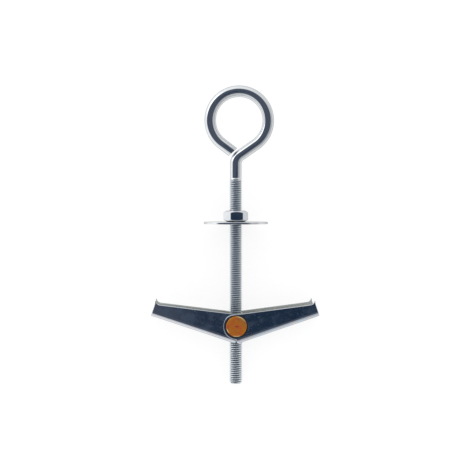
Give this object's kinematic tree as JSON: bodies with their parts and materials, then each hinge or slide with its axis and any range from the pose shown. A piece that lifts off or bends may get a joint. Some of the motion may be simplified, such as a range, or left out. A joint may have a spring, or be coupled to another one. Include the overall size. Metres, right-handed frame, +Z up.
{
  "type": "spring toggle bolt",
  "caption": "Ring-eye bolt with hexagon nut, wide washer and a spring toggle, whose channel wings fold along the thread and snap open behind a ceiling board.",
  "frame": {"origin": "centre of the bounding box, on the surface that the object lies on", "axes": "+Y along the bolt towards its eye, level with the surface; +X to the side of the outer wing; +Z up. The bolt itself rises towards the eye, because it lies on the washer's rim and on the toggle."},
  "size_m": [0.0774, 0.136, 0.0293],
  "materials": {
    "zinc_wire": "bright zinc plate",
    "zinc_nut": "bright zinc plate",
    "zinc_washer": "bright zinc plate",
    "yellow_zinc": "yellow-passivated zinc plate",
    "zinc_sheet": "blue-passivated zinc plate on pressed sheet",
    "spring_wire": "bright spring wire"
  },
  "bodies": {
    "washer": {"washer": "zinc_washer"},
    "eye_bolt": {"eye_bolt": "zinc_wire"},
    "nut": {"hex_nut": "zinc_nut"},
    "toggle": {"trunnion": "yellow_zinc", "spring": "spring_wire"},
    "wing_right": {"wing_right": "zinc_sheet"},
    "wing_left": {"wing_left": "zinc_sheet"}
  },
  "joints": [
    {"name": "bolt_turn", "type": "hinge", "parent": "washer", "child": "eye_bolt", "pos_m": [0.00039, 0.00508, 0.0146], "axis": [0, -0.99, -0.141], "range_deg": [-7920, 2520]},
    {"name": "toggle_travel", "type": "slide", "parent": "washer", "child": "toggle", "axis": [0, 0.99, 0.141], "range_m": [-0.02201, 0.00701]},
    {"name": "nut_travel", "type": "slide", "parent": "eye_bolt", "child": "nut", "axis": [0, 0.99, 0.141], "range_m": [0, 0.014]},
    {"name": "wing_right_fold", "type": "hinge", "parent": "toggle", "child": "wing_right", "pos_m": [0.00039, -0.04095, 0.00805], "axis": [0.0561, -0.1408, 0.9885], "range_deg": [0, 72], "stiffness_Nm_per_rad": 0.01, "springref_deg": -45.84, "deforming": ["spring"]},
    {"name": "wing_left_fold", "type": "hinge", "parent": "toggle", "child": "wing_left", "pos_m": [0.00039, -0.04095, 0.00805], "axis": [-0.0561, 0.1408, -0.9885], "range_deg": [0, 72], "stiffness_Nm_per_rad": 0.01, "springref_deg": -45.84, "deforming": ["spring"]}
  ],
  "couplings": [
    {"joint": "toggle_travel", "follows": "bolt_turn", "m_per_rad": 0.00015915}
  ]
}
